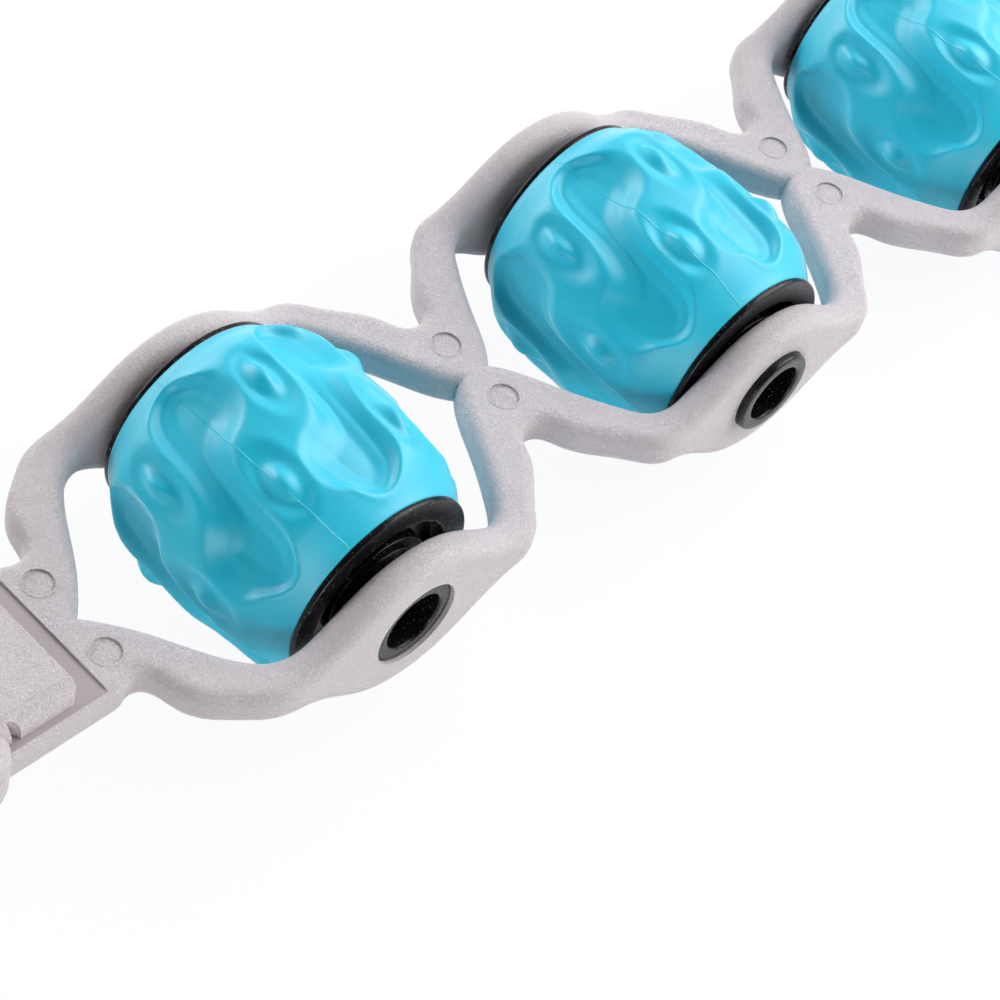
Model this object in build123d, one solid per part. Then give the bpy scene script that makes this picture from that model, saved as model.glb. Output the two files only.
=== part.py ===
from build123d import *
import os

os.makedirs("parts", exist_ok=True)

# The strap lies along X with its axles along Y, and stands on its rollers at z = 0.
# All lengths are in millimetres.

# Strap: how many rollers it holds and the distance from one neck to the next
roller_count = 4
pitch = 78.0

# Link frame: arms that run together at the necks, and side walls with lobes round the axles
strap_thickness = 6.4
edge_radius = 2.2
wall_gap = 46.4
wall_thickness = 5.3
lobe_height = 25.8
lobe_length = 52.0
tip_gap = 7.0
arm_reach = 18.5
arm_lead = 4.5
notch_width = 25.2
lobe_shares = [(0.5, 0.52)]
inner_arm_shares = [(0.31, 0.4), (0.6, 0.79)]
outer_arm_shares = [(0.22, 0.24), (0.58, 0.71)]

# Neck web between two links, and the round ejector marks on it
web_length = 5.2
mark_diameter = 5.0
mark_depth = 0.25
mark_spacing = 12.8

# Tab at each end of the strap, stepped down a little on both faces
tab_length = 34.0
tab_width = 26.8
tab_notch_width = 25.2
tab_notch_place = 1.2
tab_tip_place = 0.3
tab_lip_run = 3.0
recess_place = 5.4
recess_depth = 0.4
tab_mark_place = 1.5
tab_mark_spacing = 14.6
tab_inner_shares = [(0.28, 0.34), (0.58, 0.8)]
tab_outer_shares = [(0.2, 0.36), (0.52, 0.78)]

# Roller cover: a soft barrel with two rows of raised tongues, each tongue carrying a nub
cover_length = 39.8
barrel_diameter = 40.0
crest_rise = 1.5
tongues_per_row = 6
tongue_width = 11.2
tongue_shares = [(1.0, 1.0), (0.9, 0.45), (0.72, 0.1), (0.15, -0.23), (-0.75, -0.12), (-1.08, 0.06),
                 (-0.92, 0.45), (-1.0, 1.0)]
valley_shares = [(0.5, 0.83), (0.77, 0.52)]
crest_shares = [(0.5, 0.97), (0.79, 0.62)]
nub_length = 6.6
nub_width = 3.6
nub_height = 1.4
nub_depth = 1.2
nub_place = 8.6
nub_aside = 1.5
crest_fall_share = 0.02
roller_turns = (-62.0, -51.0, -57.0, -72.0)
float_shares = (0.0, -0.78, 0.3, -0.2)

# Roller core and its pressed-in end caps with hollow journals
core_diameter = 31.4
core_wall = 2.0
cap_diameter = 33.6
cap_rim_thickness = 1.0
cap_wall = 1.0
cap_plug_depth = 7.0
cap_recess_depth = 2.8
cap_web_thickness = 1.6
hub_diameter = 18.6
hub_setback = 0.7
journal_diameter = 14.8
journal_bore = 10.2
journal_setback = 0.5
journal_clearance = 0.1

# Handle: a hollow loop of two shells that clamps the tab
tongue_gap = 4.2
handle_tongue_width = 23.0
handle_tongue_rise = 3.4
tongue_edge_radius = 2.7
tongue_corner_radius = 1.7
root_notch_radius = 1.6
shoulder_place = 21.3
shoulder_width = 31.0
shoulder_radius = 6.0
handle_reach = 110.0
handle_width = 112.0
handle_thickness = 19.0
handle_edge_radius = 4.0
handle_wall = 2.6
grip_width = 20.0
grip_bow = 2.0
grip_corner_radius = 16.0
loop_start_share = 0.346
grip_side_width = 14.0
loop_corner_radius = 9.0
pocket_clearance = 0.1
outer_loop_shares = [(0.3, 0.28), (0.62, 0.84)]
inner_loop_shares = [(0.12, 0.36), (0.5, 0.76)]
rise_run_share = 0.5
rise_shares = [(0.5, 0.5)]

# Handle screws, driven from below
screw_diameter = 3.0
screw_length = 9.0
screw_head_diameter = 5.6
screw_head_height = 1.6
screw_seat = 1.0
screw_boss_diameter = 9.0
screw_clearance = 0.2
screw_slot_length = 3.4
screw_slot_width = 0.8
screw_slot_depth = 0.9
tab_screw_place = 28.0
tab_screw_spacing = 16.0
grip_screw_place = 94.0
grip_screw_spacing = 86.0

# Run of a cutting tool past the face that it cuts
overrun = 1.0

# Worked out from the sizes above
half_pitch = pitch / 2
half_strap = strap_thickness / 2
wall_inner = wall_gap / 2
wall_outer = wall_inner + wall_thickness
half_lobe = lobe_height / 2
tip_x = half_pitch - tip_gap / 2
outer_reach = tip_gap / 2 + arm_reach - arm_lead
recess_floor = half_strap - recess_depth
half_cover = cover_length / 2
valley_radius = barrel_diameter / 2
crest_radius = valley_radius + crest_rise
cap_radius = cap_diameter / 2
core_radius = core_diameter / 2
rim_face = half_cover + cap_rim_thickness
end_float = wall_inner - rim_face
journal_end = wall_outer - journal_setback
handle_half = handle_thickness / 2
loop_start = shoulder_place + loop_start_share * (handle_reach - shoulder_place)
loop_width = handle_width - 2 * grip_side_width
tongue_top = recess_floor + handle_tongue_rise
tongue_place = recess_place + tongue_gap


def height_profile(height, length, low, end, shares):
    """Half of a side view: high at x = 0, easing down to the low height and running on to the end."""
    steps = [(a * length, low + b * (height - low)) for a, b in shares]
    slope = Spline((0, height), *steps, (length, low), tangents=[(1, 0), (1, 0)])
    lines = Polyline((length, low), (end, low), (end, 0), (0, 0), (0, height))
    return make_face([slope] + lines.edges())


def side_block(profile, reach):
    """A side view, given as length against height, run out across the strap."""
    return extrude(Plane.XZ * profile, amount=reach, both=True)


def arm_quarter(plan, end):
    """A quarter of a link end above its middle plane, rounded along its upper edges."""
    prism = extrude(plan, amount=half_lobe)
    profile = height_profile(half_lobe, lobe_length / 2, half_strap, end, lobe_shares)
    block = (prism & side_block(profile, wall_outer + overrun)).solids()[0]
    upper = block.edges().filter_by(lambda e: e.bounding_box().min.Z > half_strap - recess_depth)
    rims = upper.filter_by(lambda e: e.bounding_box().size.X > recess_depth)
    free = rims.filter_by(lambda e: e.bounding_box().max.Y > recess_depth)
    return block.fillet(edge_radius, free)


def inner_arm(tip, reach, shares):
    """Inside edge of an arm, from the pointed tip of the opening to the side wall."""
    steps = [(tip - a * reach, b * wall_inner) for a, b in shares]
    return Spline((tip, 0), *steps, (tip - reach, wall_inner), tangents=[(-1, 1), (-1, 0)])


def outer_arm(start, notch, reach, shares):
    """Outside edge of an arm, from the notch at the neck to the side wall."""
    steps = [(start - a * reach, notch + b * (wall_outer - notch)) for a, b in shares]
    return Spline((start, notch), *steps, (start - reach, wall_outer), tangents=[(-1, 0), (-1, 0)])


def neck_plan():
    """Quarter plan of a link end that runs into a neck."""
    notch = notch_width / 2
    inside = inner_arm(tip_x, arm_reach, inner_arm_shares)
    outside = outer_arm(half_pitch, notch, outer_reach, outer_arm_shares)
    wall_start = tip_x - arm_reach
    wall_end = half_pitch - outer_reach
    walls = Polyline((wall_start, wall_inner), (0, wall_inner), (0, wall_outer), (wall_end, wall_outer))
    closing = Polyline((half_pitch, notch), (half_pitch, 0), (tip_x, 0))
    return make_face([inside, outside] + walls.edges() + closing.edges())


def tab_plan():
    """Quarter plan of a link end that runs out into the tab."""
    tip = half_pitch + tab_tip_place
    wall_start = tip_x - arm_reach
    wall_end = half_pitch - outer_reach
    notch_x = half_pitch + tab_notch_place
    notch = tab_notch_width / 2
    lip = tab_width / 2
    lip_x = notch_x + tab_lip_run
    end = half_pitch + tab_length
    inside = inner_arm(tip, tip - wall_start, tab_inner_shares)
    outside = outer_arm(notch_x, notch, notch_x - wall_end, tab_outer_shares)
    easing = Spline((notch_x, notch), (lip_x, lip), tangents=[(1, 0), (1, 0)])
    walls = Polyline((wall_start, wall_inner), (0, wall_inner), (0, wall_outer), (wall_end, wall_outer))
    closing = Polyline((lip_x, lip), (end, lip), (end, 0), (tip, 0))
    return make_face([inside, outside, easing] + walls.edges() + closing.edges())


def whole_end(quarter):
    """A link end from its quarter: both sides, above and below the middle plane."""
    above = quarter + mirror(quarter, about=Plane.XZ)
    return above + mirror(above, about=Plane.XY)


def bar(diameter, bottom, top):
    """An upright round bar between two heights."""
    return Pos(0, 0, (bottom + top) / 2) * Cylinder(diameter / 2, top - bottom)


def marks(x, spacing):
    """The pair of shallow round marks that the ejector pins leave on the upper face."""
    disc = bar(mark_diameter, half_strap - mark_depth, half_strap + overrun)
    return [Pos(x, s * spacing / 2, 0) * disc for s in (1, -1)]


def axle_bore(diameter):
    """A bar along Y through both side walls."""
    return Rot(X=90) * Cylinder(diameter / 2, 2 * (wall_outer + overrun))


neck_end = whole_end(arm_quarter(neck_plan(), half_pitch))
tab_end = whole_end(arm_quarter(tab_plan(), half_pitch + tab_length))
tab_recess_length = tab_length - recess_place + overrun
for side in (1, -1):
    place = Pos(half_pitch + recess_place + tab_recess_length / 2, 0, side * (recess_floor + overrun / 2))
    tab_end -= place * Box(tab_recess_length, tab_width + overrun, overrun)
for side in (1, -1):
    spot = Pos(half_pitch + tab_screw_place, side * tab_screw_spacing / 2, 0)
    tab_end -= spot * Cylinder(screw_diameter / 2 + screw_clearance, strap_thickness + overrun)
tab_end -= marks(half_pitch + tab_mark_place, tab_mark_spacing)


def link_frame(left_tab, right_tab):
    """One link of the strap, with a neck or a tab at either end, centred on its axle."""
    left = mirror(tab_end if left_tab else neck_end, about=Plane.YZ)
    right = tab_end if right_tab else neck_end
    frame = left + right
    frame -= axle_bore(journal_diameter + 2 * journal_clearance)
    trim = Box(web_length, 2 * wall_outer, strap_thickness + overrun)
    if not left_tab:
        frame -= Pos(-half_pitch, 0, 0) * trim
    if not right_tab:
        frame -= Pos(half_pitch, 0, 0) * trim
    return frame


def neck_web():
    """The short web that joins two links and bends between them."""
    both = Pos(-half_pitch, 0, 0) * neck_end + Pos(half_pitch, 0, 0) * mirror(neck_end, about=Plane.YZ)
    web = both & Box(web_length, 2 * wall_outer, strap_thickness + overrun)
    return web - marks(0, mark_spacing)


def barrel(radius, shares):
    """A barrel along Y that narrows to the caps at both ends."""
    steps = [(cap_radius + b * (radius - cap_radius), a * half_cover) for a, b in shares]
    tip = (cap_radius, half_cover)
    upper = Spline((radius, 0), *steps, tip, tangents=[(0, 1), (-1, 2)])
    lower = mirror(upper, about=Plane.XZ)
    closing = Polyline((cap_radius, half_cover), (0, half_cover), (0, -half_cover), (cap_radius, -half_cover))
    return revolve(make_face([upper, lower] + closing.edges()), axis=Axis.Y)


def tongue():
    """One raised tongue of the upper row, standing on the barrel at +Z."""
    outline = [(a * tongue_width / 2, b * half_cover) for a, b in tongue_shares]
    edge = Spline(*outline)
    face = make_face([edge, Line(outline[-1], outline[0])])
    return extrude(Pos(0, 0, core_radius) * face, amount=crest_radius)


def nub():
    """The oval mound on a tongue."""
    rise = nub_height + nub_depth
    mound = scale(Sphere(rise), by=(nub_width / (2 * rise), nub_length / (2 * rise), 1))
    return Pos(-nub_aside, nub_place, crest_radius * (1 - crest_fall_share) - nub_depth) * mound


def both_rows(form):
    """Repeats a form round the barrel: one row at each end, the second turned half round."""
    step = 360 / tongues_per_row
    upper = [Rot(Y=i * step) * form for i in range(tongues_per_row)]
    lower = [Rot(Y=(i + 0.5) * step) * Rot(Z=180) * form for i in range(tongues_per_row)]
    return upper + lower


def roller_cover():
    """The soft cover with its raised relief, bored for the core."""
    tongues = Part() + both_rows(tongue())
    cover = barrel(valley_radius, valley_shares) + (tongues & barrel(crest_radius, crest_shares))
    cover += both_rows(nub())
    return cover - Rot(X=90) * Cylinder(core_radius, cover_length + overrun)


def roller_core():
    """The tube inside the cover."""
    tube = Cylinder(core_radius, cover_length) - Cylinder(core_radius - core_wall, cover_length + overrun)
    return Rot(X=90) * tube


def end_cap():
    """The cap at the +Y end: rim, plug in the core, recess, hub and hollow journal."""
    plug = core_radius - core_wall
    ring = plug - cap_wall
    floor = rim_face - cap_recess_depth
    back = floor - cap_web_thickness
    hub = hub_diameter / 2
    bore = journal_bore / 2
    journal = journal_diameter / 2
    plug_end = half_cover - cap_plug_depth
    hub_face = rim_face - hub_setback
    outline = Polyline((bore, back), (ring, back), (ring, plug_end), (plug, plug_end), (plug, half_cover),
                       (cap_radius, half_cover), (cap_radius, rim_face), (ring, rim_face), (ring, floor),
                       (hub, floor), (hub, hub_face), (journal, hub_face), (journal, journal_end),
                       (bore, journal_end), close=True)
    return revolve(make_face(outline), axis=Axis.Y)


def handle_height(low, high):
    """Side view of a handle shell, rising from the tab's end to the grip."""
    rise_start = shoulder_place + shoulder_radius
    rise_end = loop_start + rise_run_share * (handle_reach - grip_width - loop_start)
    end = handle_reach + overrun
    steps = [(rise_start + a * (rise_end - rise_start), low + b * (high - low)) for a, b in rise_shares]
    slope = Spline((rise_start, low), *steps, (rise_end, high), tangents=[(1, 0), (1, 0)])
    lines = Polyline((rise_end, high), (end, high), (end, 0), (0, 0), (0, low), (rise_start, low))
    return make_face([slope] + lines.edges())


def loop_plan(inset):
    """Half plan of the handle's loop, drawn in by the inset."""
    start = shoulder_place + inset
    shoulder = shoulder_width / 2 - inset
    nose_radius = shoulder_radius - inset
    front = start + nose_radius
    end = handle_reach - inset
    side = end - grip_bow
    half = handle_width / 2 - inset
    corner_radius = grip_corner_radius - inset
    corner = side - corner_radius
    steps = [(front + a * (corner - front), shoulder + b * (half - shoulder)) for a, b in outer_loop_shares]
    nose = TangentArc((front, shoulder), (start, shoulder - nose_radius), tangent=(-1, 0))
    outer = Spline((front, shoulder), *steps, (corner, half), tangents=[(1, 0), (1, 0)])
    outer_corner = TangentArc((corner, half), (side, half - corner_radius), tangent=(1, 0))
    back = Spline((side, half - corner_radius), (end, 0), tangents=[(0, -1), (0, -1)])
    loop = loop_start - inset
    loop_end = handle_reach - grip_width + inset
    loop_side = loop_end - grip_bow
    loop_half = loop_width / 2 + inset
    loop_radius = loop_corner_radius + inset
    bend = loop_side - loop_radius
    loop_steps = [(loop + a * (bend - loop), b * loop_half) for a, b in inner_loop_shares]
    inner = Spline((loop, 0), *loop_steps, (bend, loop_half), tangents=[(0, 1), (1, 0)])
    inner_corner = TangentArc((bend, loop_half), (loop_side, loop_half - loop_radius), tangent=(1, 0))
    inner_back = Spline((loop_side, loop_half - loop_radius), (loop_end, 0), tangents=[(0, -1), (0, -1)])
    front_lines = Polyline((start, shoulder - nose_radius), (start, 0), (loop, 0))
    closing = front_lines.edges() + [Line((loop_end, 0), (end, 0))]
    return make_face([nose, outer, outer_corner, back, inner, inner_corner, inner_back] + closing)


def half_loop(inset, low, high):
    """Half of a handle shell on one side of the strap's centre line, before its edges are rounded."""
    block = extrude(loop_plan(inset), amount=handle_half)
    return (block & side_block(handle_height(low, high), handle_width)).solids()[0]


def loop_body():
    """The outer form of a handle shell above the tab's middle plane."""
    half = half_loop(0, tongue_top, handle_half)
    rims = half.edges().filter_by(lambda e: e.bounding_box().min.Z > half_strap)
    rims = rims.filter_by(lambda e: e.bounding_box().size.X > recess_depth)
    rims = rims.filter_by(lambda e: e.bounding_box().max.Y > recess_depth)
    half = half.fillet(handle_edge_radius, rims)
    return half + mirror(half, about=Plane.XZ)


def loop_cavity():
    """The hollow inside a handle shell."""
    half = half_loop(handle_wall, half_strap, handle_half - handle_wall)
    return half + mirror(half, about=Plane.XZ)


def tab_pocket():
    """The space that the tab fills inside a handle shell."""
    length = tab_length - shoulder_place + pocket_clearance + overrun
    middle = shoulder_place - overrun + length / 2
    return Pos(middle, 0, 0) * Box(length, tab_width + 2 * pocket_clearance, strap_thickness)


def handle_tongue():
    """The plate of a handle shell that lies in the tab's recess."""
    length = shoulder_place + handle_wall - tongue_place
    plate = Box(length, handle_tongue_width, handle_tongue_rise)
    upper = plate.edges().filter_by(Axis.X).group_by(Axis.Z)[-1]
    plate = plate.fillet(tongue_edge_radius, upper)
    outline = Box(length, handle_tongue_width, handle_tongue_rise + overrun)
    corners = outline.edges().filter_by(Axis.Z).group_by(Axis.X)[0]
    plate = plate & outline.fillet(tongue_corner_radius, corners)
    middle = tongue_place + length / 2
    plate = Pos(middle, 0, recess_floor + handle_tongue_rise / 2) * plate
    for side in (1, -1):
        spot = Pos(shoulder_place, side * handle_tongue_width / 2, tongue_top)
        notch = spot * Cylinder(root_notch_radius, 2 * tongue_top)
        keep = Pos(shoulder_place + overrun, 0, tongue_top) * Box(2 * overrun, tab_width, 2 * tongue_top)
        plate -= notch - keep
    return plate


def screw_spots():
    """Places of a handle's screws, the pair through the tab first."""
    tab = [(tab_screw_place, s * tab_screw_spacing / 2) for s in (1, -1)]
    grip = [(grip_screw_place, s * grip_screw_spacing / 2) for s in (1, -1)]
    return tab, grip


def bosses():
    """The posts that carry the grip's screws, as tall as the inside of a shell."""
    post = bar(screw_boss_diameter, 0, handle_half - handle_wall / 2)
    return [Pos(x, y, 0) * post for x, y in screw_spots()[1]]


def plain_shell():
    """A handle shell above the tab's middle plane, before its screw holes."""
    return loop_body() - loop_cavity() - tab_pocket() + handle_tongue() + bosses()


def handle_upper(shell):
    """The upper shell with its blind screw holes."""
    tip = screw_length - half_strap - screw_seat
    tab, grip = screw_spots()
    return shell - [Pos(x, y, 0) * bar(screw_diameter, -overrun, tip) for x, y in tab + grip]


def handle_lower(shell):
    """The lower shell with clearance holes and counterbores for the screw heads."""
    seat = half_strap + screw_seat
    hole = bar(screw_diameter + 2 * screw_clearance, -seat - overrun, overrun)
    counterbore = bar(screw_head_diameter + 2 * screw_clearance, -handle_half - overrun, -seat)
    tab, grip = screw_spots()
    return mirror(shell, about=Plane.XY) - [Pos(x, y, 0) * (hole + counterbore) for x, y in tab + grip]


def handle_screws():
    """The four screws of a handle, each with a cross recess in its head."""
    seat = half_strap + screw_seat
    bottom = -seat - screw_head_height
    screw = bar(screw_diameter, -seat, screw_length - seat) + bar(screw_head_diameter, bottom, -seat)
    slot = Pos(0, 0, bottom) * Box(screw_slot_length, screw_slot_width, 2 * screw_slot_depth)
    screw -= slot + Rot(Z=90) * slot
    tab, grip = screw_spots()
    return Compound(children=[Pos(x, y, 0) * screw for x, y in tab + grip])


def turned(form, turn):
    """A form of the roller, turned about its axle."""
    return Rot(Y=turn) * form


# The strap stands on the lowest of its nubs
cover = roller_cover()
axle_height = -min(turned(cover, turn).bounding_box().min.Z for turn in roller_turns)


def save(form, name):
    """Writes one node's STEP file, with the form lifted to the height of the axles."""
    export_step(Pos(0, 0, axle_height) * form, "parts/" + name + ".step")


# Link frames and the webs between them
places = [(i - (roller_count - 1) / 2) * pitch for i in range(roller_count)]
for number, place in enumerate(places, start=1):
    frame = link_frame(number == 1, number == roller_count)
    save(Pos(place, 0, 0) * frame, f"link_frame_{number}")
web = neck_web()
for number, place in enumerate(places[:-1], start=1):
    save(Pos(place + half_pitch, 0, 0) * web, f"neck_web_{number}")

# Rollers, each turned and shifted along its axle as it came to rest
core = roller_core()
cap = end_cap()
roller = {"roller_cover": cover, "roller_core": core, "end_cap_rear": cap}
roller["end_cap_front"] = mirror(cap, about=Plane.XZ)
for number, place in enumerate(places):
    turn = roller_turns[number % len(roller_turns)]
    shift = float_shares[number % len(float_shares)] * end_float
    for name, piece in roller.items():
        save(Pos(place, shift, 0) * turned(piece, turn), f"{name}_{number + 1}")

# Handles at both ends
shell = plain_shell()
handle = {"handle_upper": handle_upper(shell), "handle_lower": handle_lower(shell)}
handle["handle_screws"] = handle_screws()
strap_end = roller_count * half_pitch
for name, piece in handle.items():
    right = Pos(strap_end, 0, 0) * piece
    save(right, name + "_right")
    save(mirror(right, about=Plane.YZ), name + "_left")
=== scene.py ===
import math
import bmesh
import bpy
import numpy as np
from mathutils import Matrix, Vector

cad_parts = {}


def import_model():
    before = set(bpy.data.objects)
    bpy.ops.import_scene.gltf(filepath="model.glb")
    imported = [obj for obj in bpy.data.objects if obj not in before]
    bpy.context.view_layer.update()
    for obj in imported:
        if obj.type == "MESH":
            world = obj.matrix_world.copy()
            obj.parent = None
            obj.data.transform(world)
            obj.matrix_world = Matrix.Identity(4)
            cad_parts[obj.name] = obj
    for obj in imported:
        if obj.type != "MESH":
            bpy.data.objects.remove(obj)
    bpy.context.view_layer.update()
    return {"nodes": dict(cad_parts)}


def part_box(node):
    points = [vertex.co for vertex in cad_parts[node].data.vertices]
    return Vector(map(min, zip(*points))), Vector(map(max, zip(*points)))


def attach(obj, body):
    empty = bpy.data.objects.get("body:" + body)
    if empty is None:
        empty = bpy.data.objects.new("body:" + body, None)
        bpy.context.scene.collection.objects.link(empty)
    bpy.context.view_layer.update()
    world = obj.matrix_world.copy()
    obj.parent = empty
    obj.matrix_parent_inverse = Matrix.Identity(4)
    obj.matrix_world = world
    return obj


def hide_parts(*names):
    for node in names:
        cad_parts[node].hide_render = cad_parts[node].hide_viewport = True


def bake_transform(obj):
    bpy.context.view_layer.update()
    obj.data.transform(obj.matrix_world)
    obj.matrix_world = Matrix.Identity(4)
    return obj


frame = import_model()

# Shapes are worked out in millimetres, x along the strap and y along the axles
MM = 0.001
PITCH = 78.0
COUNT = 4
PLACES = [(i - (COUNT - 1) / 2) * PITCH for i in range(COUNT)]
TAB_ROOT = COUNT / 2 * PITCH
cap_low, cap_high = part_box("end_cap_rear_1")
AXLE = (cap_low.z + cap_high.z) / 2 / MM


# The photograph's camera, which sees the first two rollers
PHOTO_AZIMUTH = -57.907
PHOTO_ELEVATION = 48.925
PHOTO_ROLL = 17.169
PHOTO_PLACE = (-339.34, -175.19, 336.8)
PHOTO_FOCAL = 2994 / 1000
SENSOR_WIDTH = 36
CLIP_START = 0.01


def photo_camera():
    """Camera at PHOTO_PLACE, measured from the strap's middle at axle height."""
    angles = (PHOTO_AZIMUTH, PHOTO_ELEVATION, PHOTO_ROLL)
    az, el, roll = (math.radians(a) for a in angles)
    back = Vector((math.sin(az) * math.cos(el), -math.cos(az) * math.cos(el), math.sin(el)))
    right = Vector((math.cos(az), math.sin(az), 0))
    up = back.cross(right)
    x_axis = right * math.cos(roll) + up * math.sin(roll)
    y_axis = -right * math.sin(roll) + up * math.cos(roll)
    x, y, z = PHOTO_PLACE
    data = bpy.data.cameras.new("photo_camera")
    data.sensor_width = SENSOR_WIDTH
    data.lens = PHOTO_FOCAL * SENSOR_WIDTH
    data.clip_start = CLIP_START
    camera = bpy.data.objects.new("photo_camera", data)
    camera.matrix_world = Matrix((x_axis, y_axis, back)).transposed().to_4x4()
    camera.matrix_world.translation = Vector((x, y, z + AXLE)) * MM
    bpy.context.scene.collection.objects.link(camera)
    bpy.context.scene.camera = camera


# Node trees
class Shader:
    """A material around its Principled BSDF, with short calls for the nodes it needs."""

    def __init__(self, name):
        self.material = bpy.data.materials.new(name)
        self.material.use_nodes = True
        self.tree = self.material.node_tree
        self.principled = self.tree.nodes["Principled BSDF"]
        self.place = self.add("ShaderNodeTexCoord").outputs["Object"]

    def add(self, kind, inputs=None, **props):
        node = self.tree.nodes.new(kind)
        for key, value in props.items():
            setattr(node, key, value)
        for key, value in (inputs or {}).items():
            self.put(value, node.inputs[key])
        return node

    def put(self, value, socket):
        if isinstance(value, bpy.types.NodeSocket):
            self.tree.links.new(value, socket)
        else:
            socket.default_value = value

    def set(self, **values):
        for key, value in values.items():
            self.put(value, self.principled.inputs[key.replace("_", " ")])

    def noise(self, scale, detail=2.0, rough=0.5, distortion=0.0):
        inputs = {"Vector": self.place, "Scale": scale, "Detail": detail,
                  "Roughness": rough, "Distortion": distortion}
        return self.add("ShaderNodeTexNoise", inputs).outputs["Fac"]

    def remap(self, value, low, high, to_low=0.0, to_high=1.0):
        inputs = {"Value": value, "From Min": low, "From Max": high,
                  "To Min": to_low, "To Max": to_high}
        return self.add("ShaderNodeMapRange", inputs).outputs["Result"]

    def math(self, operation, a, b=0.0):
        node = self.add("ShaderNodeMath", operation=operation)
        self.put(a, node.inputs[0])
        self.put(b, node.inputs[1])
        return node.outputs[0]

    def distance(self, a, b):
        return self.math("ABSOLUTE", self.math("SUBTRACT", a, b))

    def mix(self, factor, a, b):
        node = self.add("ShaderNodeMix", {"Factor": factor}, data_type="RGBA")
        self.put(a, node.inputs[6])
        self.put(b, node.inputs[7])
        return node.outputs[2]

    def bump(self, height, distance, strength):
        inputs = {"Height": height, "Distance": distance, "Strength": strength}
        return self.add("ShaderNodeBump", inputs).outputs["Normal"]


# Strap and handles: grey plastic with a fine spark grain, smooth on the tabs' stepped-down floors
GRAIN_LOW = (0.51, 0.458, 0.482, 1)
GRAIN_HIGH = (0.68, 0.625, 0.654, 1)
GRAIN_CLOUD = (0.60, 0.545, 0.555, 1)
GRAIN_DEPTH = 0.00012
WORM_SHARE, GRIT_SHARE, CLOUD_SHARE = 0.6, 0.4, 0.3
SMOOTH_TONE = (0.37, 0.325, 0.345, 1)
GRAIN_ROUGHNESS, SMOOTH_ROUGHNESS = 0.45, 0.36
RECESS_PLACE = TAB_ROOT + 5.4
RECESS_FLOOR = 2.8
RECESS_TOLERANCE = 0.05


def recess_floor(s):
    """One on the smooth floors of the two tabs, zero elsewhere."""
    spot = s.add("ShaderNodeSeparateXYZ", {"Vector": s.place})
    along = s.math("ABSOLUTE", spot.outputs["X"])
    height = s.distance(spot.outputs["Z"], AXLE * MM)
    beyond = s.math("GREATER_THAN", along, RECESS_PLACE * MM)
    level = s.math("LESS_THAN", s.distance(height, RECESS_FLOOR * MM), RECESS_TOLERANCE * MM)
    return s.math("MULTIPLY", beyond, level)


def strap_plastic():
    s = Shader("strap_plastic")
    fold = s.distance(s.noise(scale=1500, detail=1.5, distortion=1.2), 0.5)
    worms = s.math("MULTIPLY", s.remap(fold, low=0.07, high=0.0), WORM_SHARE)
    grit = s.remap(s.noise(scale=3600, detail=1.0, distortion=0.8), low=0.38, high=0.62)
    grit = s.math("MULTIPLY", grit, GRIT_SHARE)
    cloud = s.remap(s.noise(scale=60), low=0.35, high=0.65, to_high=CLOUD_SHARE)
    smooth = recess_floor(s)
    grain = s.math("ADD", worms, grit)
    grain = s.math("MULTIPLY", grain, s.math("SUBTRACT", 1.0, smooth))
    tone = s.mix(grain, GRAIN_LOW, GRAIN_HIGH)
    tone = s.mix(cloud, tone, GRAIN_CLOUD)
    tone = s.mix(smooth, tone, SMOOTH_TONE)
    roughness = s.remap(smooth, 0.0, 1.0, GRAIN_ROUGHNESS, SMOOTH_ROUGHNESS)
    s.set(Base_Color=tone, Roughness=roughness, Specular_IOR_Level=0.5)
    s.set(Sheen_Weight=0.2, Sheen_Roughness=0.5)
    s.set(Normal=s.bump(grain, distance=GRAIN_DEPTH, strength=0.9))
    return s.material


# Roller covers: satin turquoise rubber, pale at grazing angles, with a few darker specks
RUBBER_DEEP = (0.0, 0.49, 0.68, 1)
RUBBER_PALE = (0.0, 0.53, 0.72, 1)
RUBBER_SPECK = (0.01, 0.22, 0.29, 1)
RUBBER_SHEEN = (0.68, 0.95, 1.0, 1)
RUBBER_DEPTH = 0.00002
SPECK_SHARE = 0.3


def cover_rubber():
    s = Shader("cover_rubber")
    fine = s.noise(scale=5200)
    bloom = s.remap(s.noise(scale=90, detail=3.0, rough=0.6), low=0.42, high=0.66)
    specks = s.remap(s.noise(scale=1500, detail=1.0), low=0.73, high=0.76)
    tone = s.mix(bloom, RUBBER_DEEP, RUBBER_PALE)
    tone = s.mix(s.math("MULTIPLY", specks, SPECK_SHARE), tone, RUBBER_SPECK)
    s.set(Base_Color=tone, Roughness=0.47, Specular_IOR_Level=0.8)
    s.set(Sheen_Weight=1.0, Sheen_Roughness=0.28, Sheen_Tint=RUBBER_SHEEN)
    s.set(Normal=s.bump(fine, distance=RUBBER_DEPTH, strength=0.2))
    return s.material


# End caps and cores: satin black plastic, rubbed in places and a little dusty
BLACK_NEW = (0.003, 0.003, 0.004, 1)
BLACK_RUBBED = (0.022, 0.020, 0.020, 1)
BLACK_DUST = (0.36, 0.36, 0.37, 1)
BLACK_DEPTH = 0.00003
RUB_SHARE, DUST_SHARE = 0.3, 0.6


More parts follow.
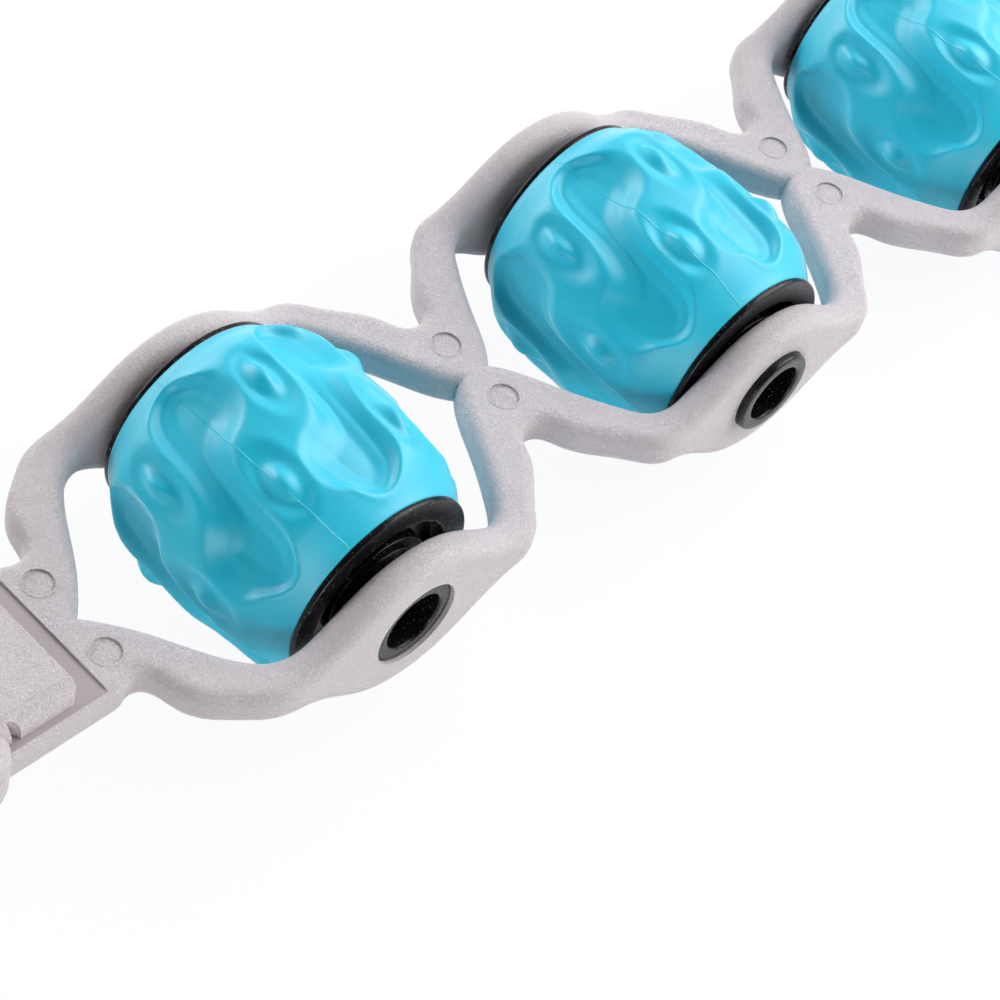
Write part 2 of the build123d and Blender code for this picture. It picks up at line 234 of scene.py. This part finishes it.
def cap_plastic():
    s = Shader("cap_plastic")
    dust = s.remap(s.noise(scale=2600, detail=1.5, rough=0.7), low=0.68, high=0.72)
    rub = s.remap(s.noise(scale=350, detail=4.0, rough=0.7, distortion=0.8), low=0.5, high=0.8)
    tone = s.mix(s.math("MULTIPLY", rub, RUB_SHARE), BLACK_NEW, BLACK_RUBBED)
    tone = s.mix(s.math("MULTIPLY", dust, DUST_SHARE), tone, BLACK_DUST)
    roughness = s.remap(rub, 0.0, 1.0, to_low=0.24, to_high=0.40)
    s.set(Base_Color=tone, Roughness=roughness, Specular_IOR_Level=0.3)
    ripple = s.noise(scale=1300, detail=3.0)
    s.set(Normal=s.bump(ripple, distance=BLACK_DEPTH, strength=0.35))
    return s.material


# Screws: plain zinc
ZINC_DARK = (0.42, 0.42, 0.43, 1)
ZINC_LIGHT = (0.60, 0.60, 0.61, 1)


def screw_steel():
    s = Shader("screw_steel")
    scratch = s.noise(scale=900, detail=3.0)
    roughness = s.remap(scratch, low=0.3, high=0.7, to_low=0.25, to_high=0.45)
    s.set(Base_Color=s.mix(scratch, ZINC_DARK, ZINC_LIGHT), Metallic=1.0, Roughness=roughness)
    return s.material


# Meshes
def paint(obj, material):
    obj.data.materials.clear()
    obj.data.materials.append(material)
    return obj


def make_object(name, vertices, faces, material, smooth=True):
    mesh = bpy.data.meshes.new(name)
    mesh.from_pydata((np.asarray(vertices) * MM).tolist(), [], faces)
    mesh.validate()
    mesh.update()
    if smooth:
        mesh.polygons.foreach_set("use_smooth", [True] * len(mesh.polygons))
    obj = bpy.data.objects.new(name, mesh)
    bpy.context.scene.collection.objects.link(obj)
    return paint(obj, material)


def tube_faces(rings, columns):
    """Quads between closed rings, and from the last ring back to the first."""
    faces = []
    for r in range(rings):
        s = (r + 1) % rings
        for c in range(columns):
            d = (c + 1) % columns
            faces.append((r * columns + c, s * columns + c, s * columns + d, r * columns + d))
    return faces


def round_axle(x0, radius, along, angle):
    """Points at a radius and angle round the axle of the roller at x0."""
    points = (x0 + radius * np.sin(angle), along, AXLE + radius * np.cos(angle))
    return np.stack(np.broadcast_arrays(*points), -1)


# End caps: the closed section, as radius, distance from the roller's middle and corner rounding
CAP_SECTION = [
    (5.1, 16.5, 0.1), (12.7, 16.5, 0.1), (12.7, 12.9, 0.1), (13.7, 12.9, 0.1),
    (13.7, 19.9, 0.1), (16.8, 19.9, 0.15), (16.8, 20.9, 0.38), (12.7, 20.9, 0.45),
    (12.7, 18.1, 0.35), (9.3, 18.1, 0.3), (9.3, 20.2, 0.4), (7.4, 20.2, 0.3),
    (7.4, 28.0, 0.55), (5.1, 28.0, 0.5)]
CAP_COLUMNS = 160
CAP_CORNER_STEPS = 5


def eased_section(section, steps):
    """A closed section with each corner turned through its own small arc."""
    points = [np.array(p[:2]) for p in section]
    line = []
    for i, (point, rule) in enumerate(zip(points, section)):
        before = points[i - 1] - point
        after = points[(i + 1) % len(points)] - point
        a = point + before / np.linalg.norm(before) * rule[2]
        b = point + after / np.linalg.norm(after) * rule[2]
        for t in np.linspace(0, 1, steps):
            line.append((1 - t) ** 2 * a + 2 * t * (1 - t) * point + t * t * b)
    return np.array(line)


def cap_mesh(name, x0, y0, side, material):
    section = eased_section(CAP_SECTION, CAP_CORNER_STEPS)
    angles = np.linspace(0, 2 * math.pi, CAP_COLUMNS, endpoint=False)
    radius, along = section[:, :1], section[:, 1:]
    rings = round_axle(x0, radius, y0 + side * along, angles)
    faces = tube_faces(len(section), CAP_COLUMNS)
    if side < 0:
        faces = [face[::-1] for face in faces]
    return make_object(name, rings.reshape(-1, 3), faces, material)


# Roller covers: each roller's turn in degrees and its place along the axle
TURNS = (-62.0, -51.0, -57.0, -72.0)
SHIFTS = (0.0, -1.794, 0.69, -0.46)
HALF_COVER = 19.9
CORE = 15.7

# Radius of the valleys and of the crests against distance from the middle
VALLEY = ([0, 5, 10, 13.5, 15.5, 17.5, 19.9], [19.7, 19.55, 19.15, 18.7, 18.0, 17.2, 16.8])
CREST = ([0, 6, 10, 13, 14.8, 16.5, 18.4, 19.9],
         [21.5, 21.5, 21.35, 20.95, 20.3, 19.1, 17.6, 16.8])

# The relief repeats every 60 degrees; DEG is the arc of one degree on its middle radius
REPEAT = 60
DEG = 20.8 * math.pi / 180
PERIOD = REPEAT * DEG

# Half of a valley floor's edge; the other half is the same, turned half round its middle
VALLEY_EDGE = [
    (6.4, -11.0), (5.7, -14.0), (3.8, -15.8), (1.6, -16.4), (-0.6, -15.9), (-2.3, -14.2),
    (-3.0, -11.5), (-3.4, -8.5), (-2.3, -6.2), (0.4, -5.4), (2.8, -3.4), (3.8, 0.0),
    (4.1, 4.0), (4.2, 8.0)]
VALLEY_DEPTH = 0.85
VALLEY_RUN = 2.8

# Flanks: their width where steep, what the broad side adds, and their width at the cover's ends
STEEP_FLANK = 1.7
BROAD_FLANK = 2.5
END_FLANK = 1.3
END_START, END_RUN = 12.3, 3.2
FLANK_SWING = 3.6
SWING_LENGTH = 4.5
BROAD_RUN = 2.4
FLANK_INSET = 0.12
CREST_LIFT = 0.15

# Lip of a tongue's U-shaped edge
LIP_AWAY, LIP_WIDTH, LIP_HEIGHT = 1.35, 0.45, 0.22
LIP_START, LIP_RUN = 12.6, 2.2
LIP_SIDE, LIP_FADE = 4.2, 5.0
LIP_MIDDLE, LIP_REACH = 1.6, 6

# Oval nub, leaning and steeper on one flank, in a shallow dish with a raised rim
NUB_ASIDE, NUB_ALONG, NUB_LEAN = 0.9, 8.0, 0.05
NUB_SKEW, SKEW_RUN = 0.30, 0.8
NUB_WIDTH, NUB_LENGTH = 1.9, 3.8
NUB_HEIGHT, NUB_FOOT, NUB_RUN = 1.05, 1.2, 1.05
DISH_ASIDE, DISH_ALONG = 0.2, 1.3
DISH_WIDTH, DISH_LENGTH = 3.8, 7.4
RIM_HEIGHT, RIM_AT, RIM_WIDTH = 0.14, 1.0, 0.22
DISH_DEPTH, DISH_AT, DISH_RUN = 0.62, 0.55, 0.30

# Mesh of a cover: two mould seams with finer columns, a leaning pattern, calm ends
SEAMS = (30.0, 210.0)
SEAM_COLUMNS = (-0.55, -0.35, -0.2, -0.08, 0.08, 0.2, 0.35, 0.55)
SEAM_HEIGHT, SEAM_WIDTH, SEAM_FADE = 0.09, 0.07, 0.4
COVER_ROWS = 141
LEAN = 2.6
WAVE_SIZE, WAVE_RATE = 0.12, 0.9
CALM_RUN = 2.5
SMOOTHINGS = 4


def smooth_step(x):
    x = np.clip(x, 0, 1)
    return x * x * (3 - 2 * x)


def bell(x, middle, width):
    return np.exp(-((x - middle) / width) ** 2)


def wrapped(degrees):
    """The same place of the relief, within half a repeat of zero."""
    return (degrees + REPEAT / 2) % REPEAT - REPEAT / 2


def rounded(polygon, times=2):
    """Corner cutting on a closed ring of points."""
    p = np.asarray(polygon, float)
    for _ in range(times):
        after = np.roll(p, -1, 0)
        p = np.stack([0.75 * p + 0.25 * after, 0.25 * p + 0.75 * after], 1).reshape(-1, 2)
    return p


def signed_distance(x, y, polygon):
    """Distance to a closed polygon, positive inside."""
    p = np.asarray(polygon)
    tiny = 1e-12
    best = np.full(x.shape, 1e9)
    inside = np.zeros(x.shape, bool)
    for (ax, ay), (bx, by) in zip(p, np.roll(p, -1, 0)):
        dx, dy = bx - ax, by - ay
        t = np.clip(((x - ax) * dx + (y - ay) * dy) / (dx * dx + dy * dy + tiny), 0, 1)
        best = np.minimum(best, np.hypot(x - ax - t * dx, y - ay - t * dy))
        crosses = (ay > y) != (by > y)
        with np.errstate(divide="ignore", invalid="ignore"):
            inside ^= crosses & (x < ax + (y - ay) * dx / (dy if dy else tiny))
    return np.where(inside, best, -best)


def crest_share(u, y):
    """Share of the crest, and distance outside the nearest valley floor."""
    edge = np.array(VALLEY_EDGE)
    outline = rounded(np.vstack([edge, (PERIOD / 2, 0) - edge]))
    base = wrapped(u) * DEG
    away = np.full(u.shape, 1e9)
    share = np.ones(u.shape)
    middle = PERIOD / 4 + FLANK_SWING * np.tanh(y / SWING_LENGTH)
    ends = smooth_step((abs(y) - END_START) / END_RUN)
    for shift in (-PERIOD, 0, PERIOD):
        x = base + shift
        d = -signed_distance(x, y, outline)
        broad = 0.5 + 0.5 * np.tanh((x - middle) / BROAD_RUN) * np.tanh(y / SWING_LENGTH)
        width = (STEEP_FLANK + BROAD_FLANK * broad) * (1 - ends) + END_FLANK * ends
        share *= smooth_step((d + FLANK_INSET * width) / width)
        away = np.minimum(away, d)
    return share, away


def relief(u, y):
    """Share of the crest, and extra height, at angle u in degrees from a tongue's middle."""
    share, away = crest_share(u, y)
    extra = -VALLEY_DEPTH * smooth_step(-away / VALLEY_RUN) + CREST_LIFT * share
    for turn, sign in ((0, 1), (REPEAT / 2, -1)):
        x, v = sign * wrapped(u - turn) * DEG, sign * y
        # the lip is strongest towards the broad flank
        lip = bell(away, LIP_AWAY, LIP_WIDTH) * smooth_step((-v - LIP_START) / LIP_RUN)
        near = abs(x - LIP_MIDDLE) < LIP_REACH
        extra += LIP_HEIGHT * lip * smooth_step((LIP_SIDE - x) / LIP_FADE) * near
        nx, ny = x + NUB_ASIDE - NUB_LEAN * (v - NUB_ALONG), v - NUB_ALONG
        skew = 1.0 + NUB_SKEW * np.tanh(nx / SKEW_RUN)
        r = np.hypot(nx * skew / NUB_WIDTH, ny / NUB_LENGTH)
        extra += NUB_HEIGHT * smooth_step((NUB_FOOT - r) / NUB_RUN)
        dish = np.hypot((nx - DISH_ASIDE) / DISH_WIDTH, (ny + DISH_ALONG) / DISH_LENGTH)
        rim = RIM_HEIGHT * bell(dish, RIM_AT, RIM_WIDTH)
        extra += rim - DISH_DEPTH * bell(dish, DISH_AT, DISH_RUN)
    return share, extra


def cover_mesh(name, x0, y0, turn, material):
    near_seams = {seam + s for seam in SEAMS for s in SEAM_COLUMNS}
    columns = np.array(sorted(set(np.arange(0, 360, 1.0)) | near_seams))
    rows = np.linspace(-HALF_COVER, HALF_COVER, COVER_ROWS)
    th, y = np.meshgrid(columns, rows)
    lean = th - LEAN * y / HALF_COVER + WAVE_SIZE * np.sin(y * WAVE_RATE)
    share, extra = relief(lean, y)
    valley = np.interp(abs(y), *VALLEY)
    crest = np.interp(abs(y), *CREST)
    inwards = HALF_COVER - abs(y)
    radius = valley + (crest - valley) * share + extra * smooth_step(inwards / CALM_RUN)
    for seam in SEAMS:
        ridge = SEAM_HEIGHT * bell((th - seam) * DEG, 0, SEAM_WIDTH)
        radius += ridge * smooth_step(inwards / SEAM_FADE)
    for _ in range(SMOOTHINGS):
        radius[1:-1] = (radius[:-2] + 2 * radius[1:-1] + radius[2:]) / 4
    # nothing reaches below the floor that the strap lies on
    radius = np.minimum(radius, AXLE)
    angle = np.radians(lean + turn)
    outer = round_axle(x0, radius, y0 + y, angle)
    inner = [[round_axle(x0, CORE, y0 + rows[k], angle[k])] for k in (-1, 0)]
    rings = np.concatenate([outer, *inner])
    faces = tube_faces(len(rings), len(columns))
    return make_object(name, rings.reshape(-1, 3), faces, material)


strap = strap_plastic()
rubber = cover_rubber()
black = cap_plastic()
steel = screw_steel()
for name, node in frame["nodes"].items():
    if name.startswith(("end_cap", "roller_core")):
        paint(node, black)
    elif name.startswith("handle_screws"):
        paint(node, steel)
    elif name.startswith("roller_cover"):
        paint(node, rubber)
    else:
        paint(node, strap)

for i, (x, turn, shift) in enumerate(zip(PLACES, TURNS, SHIFTS), start=1):
    cover = cover_mesh(f"relief_cover_{i}", x, shift, turn, rubber)
    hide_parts(f"roller_cover_{i}")
    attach(cover, f"roller_{i}")
    for end, side in (("rear", 1), ("front", -1)):
        cap = cap_mesh(f"eased_cap_{end}_{i}", x, shift, side, black)
        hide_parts(f"end_cap_{end}_{i}")
        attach(cap, f"roller_{i}")


# Necks cut across into slices, and the fine lip round each ejector mark
HALF_STRAP = 3.2
NECK_HALF = 2.6
NECK_PARTS = 8

# The marks: how far to each side of the middle line, and how far out on the tabs
NECK_MARKS = 6.4
TAB_MARKS = 7.3
TAB_MARKS_OUT = 1.5

# The lip: its closed section, as radius, height over the strap and corner rounding
LIP_COLUMNS = 72
LIP_CORNER_STEPS = 3
MARK_LIP = [(2.40, -0.28, 0.02), (2.40, 0.10, 0.03), (2.58, 0.10, 0.04),
            (2.76, -0.05, 0.03), (2.76, -0.28, 0.02)]


def mark_lip(x, y):
    """Vertices and faces of the lip round the mark at x, y on the strap's upper face."""
    section = eased_section(MARK_LIP, LIP_CORNER_STEPS)
    radius, height = section[:, :1], section[:, 1:]
    angles = np.linspace(0, 2 * math.pi, LIP_COLUMNS, endpoint=False)
    points = (x + radius * np.cos(angles), y + radius * np.sin(angles), AXLE + HALF_STRAP + height)
    rings = np.stack(np.broadcast_arrays(*points), -1)
    return rings.reshape(-1, 3), tube_faces(len(section), LIP_COLUMNS)


def lip_object(name, x, away):
    """The lips of the two marks at x, on either side of the strap's middle line."""
    vertices, faces = [], []
    for y in (-away, away):
        ring, quads = mark_lip(x, y)
        faces += [tuple(len(vertices) + i for i in quad) for quad in quads]
        vertices += ring.tolist()
    return make_object(name, vertices, faces, strap)


def bending_neck(name, node, x):
    """The neck's own solid, cut across many times."""
    mesh = node.data.copy()
    shape = bmesh.new()
    shape.from_mesh(mesh)
    for place in np.linspace(x - NECK_HALF, x + NECK_HALF, NECK_PARTS + 1)[1:-1]:
        everything = shape.verts[:] + shape.edges[:] + shape.faces[:]
        bmesh.ops.bisect_plane(shape, geom=everything, dist=1e-7,
                               plane_co=(place * MM, 0, 0), plane_no=(1, 0, 0))
    shape.to_mesh(mesh)
    shape.free()
    obj = bpy.data.objects.new(name, mesh)
    bpy.context.scene.collection.objects.link(obj)
    return paint(obj, strap)


for k in range(1, COUNT):
    x = (k - COUNT / 2) * PITCH
    neck = bending_neck(f"bending_neck_{k}", frame["nodes"][f"neck_web_{k}"], x)
    lips = lip_object(f"neck_mark_lips_{k}", x, NECK_MARKS)
    for piece in (neck, lips):
        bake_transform(piece)
    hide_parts(f"neck_web_{k}")

for side, link in ((-1, 1), (1, COUNT)):
    lips = lip_object(f"tab_mark_lips_{link}", side * (TAB_ROOT + TAB_MARKS_OUT), TAB_MARKS)
    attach(lips, f"link_{link}")


# Fine parting ridges along the two sides of a handle's plate
PLATE_FRONT = 9.6
PLATE_TOP = 6.2
RIDGE_SECTION = [(-0.24, -0.1), (-0.16, 0.06), (0.0, 0.12), (0.16, 0.06), (0.24, -0.1)]
RIDGE_AWAY = 8.75
RIDGE_RUN = (0.35, 11.0)
RIDGE_STEPS = 24
RIDGE_TAPER = 0.3
RIDGE_SINK = 0.05


def parting_ridge(name, side):
    """Both ridges of one handle's plate, tapered into it at their ends."""
    vertices, faces = [], []
    count = len(RIDGE_SECTION)
    for away in (-RIDGE_AWAY, RIDGE_AWAY):
        start = len(vertices)
        for t in np.linspace(0, 1, RIDGE_STEPS):
            taper = math.sin(math.pi * t) ** RIDGE_TAPER
            x = TAB_ROOT + PLATE_FRONT + RIDGE_RUN[0] + (RIDGE_RUN[1] - RIDGE_RUN[0]) * t
            for dy, dz in RIDGE_SECTION:
                z = AXLE + PLATE_TOP + dz * taper - RIDGE_SINK * (1 - taper)
                vertices.append((side * x, away + dy, z))
        rings = [[start + r * count + c for c in range(count)] for r in range(RIDGE_STEPS)]
        for ring, after in zip(rings, rings[1:]):
            for c in range(count):
                d = (c + 1) % count
                faces.append([ring[c], after[c], after[d], ring[d]][::side])
        faces.append(rings[0][::side])
        faces.append(rings[-1][::-side])
    return make_object(name, vertices, faces, strap)


for side, link, word in ((-1, 1, "left"), (1, COUNT, "right")):
    ridge = parting_ridge(f"plate_ridges_{word}", side)
    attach(ridge, f"link_{link}")


# Floor, light and camera
FLOOR_HALF = 6000.0
FLOOR_TONE = (0.93, 0.93, 0.93, 1)
FLOOR_ROUGHNESS = 0.8
FLOOR_GLOW = 0.92
FLOOR_FADE = {"low": 0.4, "high": 1.2, "to_low": 1.0, "to_high": 1.09}
WHITE = (1, 1, 1, 1)
SKY_TONE = (0.95, 0.97, 1.0, 1)
SKY_DARK_SIDE = (-0.557, -0.349, 0.754)
SKY_FALL = {"From Min": 0.1, "From Max": 0.7, "To Min": 0.6, "To Max": 0.05}
LIGHT_TARGET = (-0.08, 0, 0.02)
LIGHTS = [("key", (0.50, -0.18, 0.60), (1.0, 0.8), 10.6),
          ("back", (-0.25, 0.85, 0.30), (0.9, 0.4), 6.0),
          ("left", (-0.62, -0.50, 0.16), (0.5, 0.25), 2.0)]


def floor():
    """White floor, partly glowing to the camera alone so that it keeps a soft shadow."""
    corners = [(-FLOOR_HALF, -FLOOR_HALF, 0), (FLOOR_HALF, -FLOOR_HALF, 0),
               (FLOOR_HALF, FLOOR_HALF, 0), (-FLOOR_HALF, FLOOR_HALF, 0)]
    s = Shader("floor_white")
    s.set(Base_Color=FLOOR_TONE, Roughness=FLOOR_ROUGHNESS)
    distance = s.add("ShaderNodeVectorMath", {0: s.place}, operation="LENGTH").outputs["Value"]
    strength = s.remap(distance, **FLOOR_FADE)
    glow = s.add("ShaderNodeEmission", {"Color": WHITE, "Strength": strength})
    seen = s.add("ShaderNodeLightPath").outputs["Is Camera Ray"]
    mix = s.add("ShaderNodeMixShader", {"Fac": s.math("MULTIPLY", seen, FLOOR_GLOW)})
    s.put(s.principled.outputs[0], mix.inputs[1])
    s.put(glow.outputs[0], mix.inputs[2])
    s.put(mix.outputs[0], s.tree.nodes["Material Output"].inputs["Surface"])
    obj = make_object("floor", corners, [(0, 1, 2, 3)], s.material, smooth=False)


def area_light(name, place, size, power):
    data = bpy.data.lights.new(name, "AREA")
    data.shape = "RECTANGLE"
    data.size, data.size_y = size
    data.energy = power
    light = bpy.data.objects.new(name, data)
    light.location = place
    aim = Vector(LIGHT_TARGET) - Vector(place)
    light.rotation_euler = aim.to_track_quat("-Z", "Y").to_euler()
    bpy.context.scene.collection.objects.link(light)


def world():
    """Studio sky, darker towards one side, and plain white where the camera sees it."""
    w = bpy.data.worlds.new("studio")
    bpy.context.scene.world = w
    w.use_nodes = True
    nodes, link = w.node_tree.nodes, w.node_tree.links.new
    back = nodes["Background"]
    back.inputs["Color"].default_value = SKY_TONE
    facing = nodes.new("ShaderNodeVectorMath")
    facing.operation = "DOT_PRODUCT"
    facing.inputs[1].default_value = SKY_DARK_SIDE
    link(nodes.new("ShaderNodeTexCoord").outputs["Generated"], facing.inputs[0])
    fall = nodes.new("ShaderNodeMapRange")
    for key, value in SKY_FALL.items():
        fall.inputs[key].default_value = value
    link(facing.outputs["Value"], fall.inputs["Value"])
    link(fall.outputs["Result"], back.inputs["Strength"])
    white = nodes.new("ShaderNodeBackground")
    white.inputs["Color"].default_value = WHITE
    mix = nodes.new("ShaderNodeMixShader")
    link(nodes.new("ShaderNodeLightPath").outputs["Is Camera Ray"], mix.inputs[0])
    link(back.outputs[0], mix.inputs[1])
    link(white.outputs[0], mix.inputs[2])
    link(mix.outputs[0], nodes["World Output"].inputs["Surface"])


floor()
world()
for name, place, size, power in LIGHTS:
    area_light(name, place, size, power)
photo_camera()
bpy.context.scene.view_settings.view_transform = "Standard"
